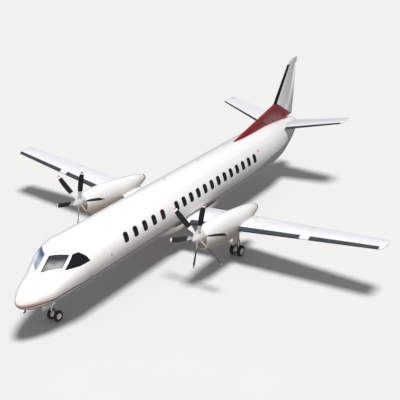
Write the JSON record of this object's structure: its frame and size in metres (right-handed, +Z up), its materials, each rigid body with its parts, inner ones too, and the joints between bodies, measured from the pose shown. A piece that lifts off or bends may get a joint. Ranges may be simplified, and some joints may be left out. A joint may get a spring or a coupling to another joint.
{
  "type": "twin turboprop airliner",
  "caption": "Low-wing regional airliner with wing-mounted turboprop engines, six-bladed propellers, a swept dorsal fin and a dihedral tailplane, parked on its tricycle landing gear.",
  "frame": {"origin": "on the ground, in the middle plane, half of the overall length back from the nose", "axes": "+Y towards the tail, so the nose points to -Y, +X to port, +Z up"},
  "size_m": [24.7486, 27.28, 7.77],
  "materials": {
    "paint_white": "gloss paint",
    "paint_red": "gloss paint",
    "glazing": "dark tinted glass",
    "blade_black": "satin composite",
    "tyre_rubber": "matt rubber",
    "rim_metal": "satin",
    "gear_steel": "satin",
    "engine_metal": "matt",
    "exhaust_metal": "heat darkened"
  },
  "bodies": {
    "airframe": {"antenna_front": "paint_white", "antenna_rear": "paint_white", "baggage_door": "paint_white", "cowling_left": "paint_white", "cowling_right": "paint_white", "engine_left": "engine_metal", "engine_right": "engine_metal", "exhaust_left": "exhaust_metal", "exhaust_right": "exhaust_metal", "fin": "paint_red", "fuselage": "paint_white", "main_door_inner_left": "paint_white", "main_door_inner_right": "paint_white", "main_door_outer_left": "paint_white", "main_door_outer_right": "paint_white", "main_leg_left": "gear_steel", "main_leg_right": "gear_steel", "nacelle_left": "paint_white", "nacelle_right": "paint_white", "nose_door_left": "paint_white", "nose_door_right": "paint_white", "nose_leg": "gear_steel", "passenger_door": "paint_white", "rear_fuselage": "paint_white", "service_door": "paint_white", "side_window_left": "glazing", "side_window_right": "glazing", "tail_cone": "paint_white", "tailplane_left": "paint_white", "tailplane_right": "paint_white", "windscreen_left": "glazing", "windscreen_right": "glazing", "wing_fairing": "paint_white", "wing_left": "paint_white", "wing_right": "paint_white"},
    "propeller_left": {"propeller_left": "blade_black", "spinner_left": "paint_white"},
    "propeller_right": {"propeller_right": "blade_black", "spinner_right": "paint_white"},
    "main_wheels_left": {"main_wheels_left": "rim_metal", "main_wheels_left_tyre_a": "tyre_rubber", "main_wheels_left_tyre_b": "tyre_rubber"},
    "main_wheels_right": {"main_wheels_right": "rim_metal", "main_wheels_right_tyre_a": "tyre_rubber", "main_wheels_right_tyre_b": "tyre_rubber"},
    "nose_steering": {"nose_fork": "gear_steel"},
    "nose_wheels": {"nose_wheels": "rim_metal", "nose_wheels_tyre_a": "tyre_rubber", "nose_wheels_tyre_b": "tyre_rubber"},
    "rudder": {"rudder": "paint_red"},
    "aileron_left": {"aileron_left": "paint_white"},
    "aileron_right": {"aileron_right": "paint_white"},
    "flap_inner_left": {"flap_inner_left": "paint_white"},
    "flap_inner_right": {"flap_inner_right": "paint_white"},
    "flap_outer_left": {"flap_outer_left": "paint_white"},
    "flap_outer_right": {"flap_outer_right": "paint_white"},
    "elevator_left": {"elevator_left": "paint_white"},
    "elevator_right": {"elevator_right": "paint_white"}
  },
  "joints": [
    {"name": "propeller_left_spin", "type": "hinge", "parent": "airframe", "child": "propeller_left", "pos_m": [3.96, -4.7, 2.765], "axis": [0, 1, 0], "continuous": true},
    {"name": "propeller_right_spin", "type": "hinge", "parent": "airframe", "child": "propeller_right", "pos_m": [-3.96, -4.7, 2.765], "axis": [0, 1, 0], "continuous": true},
    {"name": "main_wheels_left_spin", "type": "hinge", "parent": "airframe", "child": "main_wheels_left", "pos_m": [3.96, -0.75, 0.32], "axis": [1, 0, 0], "continuous": true},
    {"name": "main_wheels_right_spin", "type": "hinge", "parent": "airframe", "child": "main_wheels_right", "pos_m": [-3.96, -0.75, 0.32], "axis": [1, 0, 0], "continuous": true},
    {"name": "nose_steering_swivel", "type": "hinge", "parent": "airframe", "child": "nose_steering", "pos_m": [0, -11.3, 1.02], "axis": [0, 0, 1], "range_deg": [-60, 60]},
    {"name": "nose_wheels_spin", "type": "hinge", "parent": "nose_steering", "child": "nose_wheels", "pos_m": [0, -11.3, 0.28], "axis": [1, 0, 0], "continuous": true},
    {"name": "flap_inner_left_hinge", "type": "hinge", "parent": "airframe", "child": "flap_inner_left", "pos_m": [2.49159, -0.1102, 1.82541], "axis": [-0.9951, -0.004, -0.0989], "range_deg": [0, 35]},
    {"name": "flap_inner_right_hinge", "type": "hinge", "parent": "airframe", "child": "flap_inner_right", "pos_m": [-2.49159, -0.1102, 1.82541], "axis": [-0.9951, 0.004, 0.0989], "range_deg": [0, 35]},
    {"name": "flap_outer_left_hinge", "type": "hinge", "parent": "airframe", "child": "flap_outer_left", "pos_m": [6.3627, -0.09482, 2.20843], "axis": [-0.9952, -0.004, -0.0982], "range_deg": [0, 35]},
    {"name": "flap_outer_right_hinge", "type": "hinge", "parent": "airframe", "child": "flap_outer_right", "pos_m": [-6.3627, -0.09482, 2.20843], "axis": [-0.9952, 0.004, 0.0982], "range_deg": [0, 35]},
    {"name": "aileron_left_hinge", "type": "hinge", "parent": "airframe", "child": "aileron_left", "pos_m": [10.03654, -0.0802, 2.60562], "axis": [-0.9955, -0.004, -0.0942], "range_deg": [-20, 20]},
    {"name": "aileron_right_hinge", "type": "hinge", "parent": "airframe", "child": "aileron_right", "pos_m": [-10.03654, -0.0802, 2.60562], "axis": [-0.9955, 0.004, 0.0942], "range_deg": [-20, 20]},
    {"name": "elevator_left_hinge", "type": "hinge", "parent": "airframe", "child": "elevator_left", "pos_m": [2.51384, 12.1368, 3.94933], "axis": [-0.9752, -0.077, -0.2073], "range_deg": [-25, 15]},
    {"name": "elevator_right_hinge", "type": "hinge", "parent": "airframe", "child": "elevator_right", "pos_m": [-2.51384, 12.1368, 3.94933], "axis": [-0.9752, 0.077, 0.2073], "range_deg": [-25, 15]},
    {"name": "rudder_hinge", "type": "hinge", "parent": "airframe", "child": "rudder", "pos_m": [0, 12.54428, 5.62], "axis": [0, 0.3165, 0.9486], "range_deg": [-25, 25]}
  ],
  "couplings": [
    {"joint": "aileron_right_hinge", "follows": "aileron_left_hinge", "ratio": -1},
    {"joint": "elevator_right_hinge", "follows": "elevator_left_hinge", "ratio": 1},
    {"joint": "flap_inner_right_hinge", "follows": "flap_inner_left_hinge", "ratio": 1},
    {"joint": "flap_outer_left_hinge", "follows": "flap_inner_left_hinge", "ratio": 1},
    {"joint": "flap_outer_right_hinge", "follows": "flap_inner_left_hinge", "ratio": 1}
  ]
}
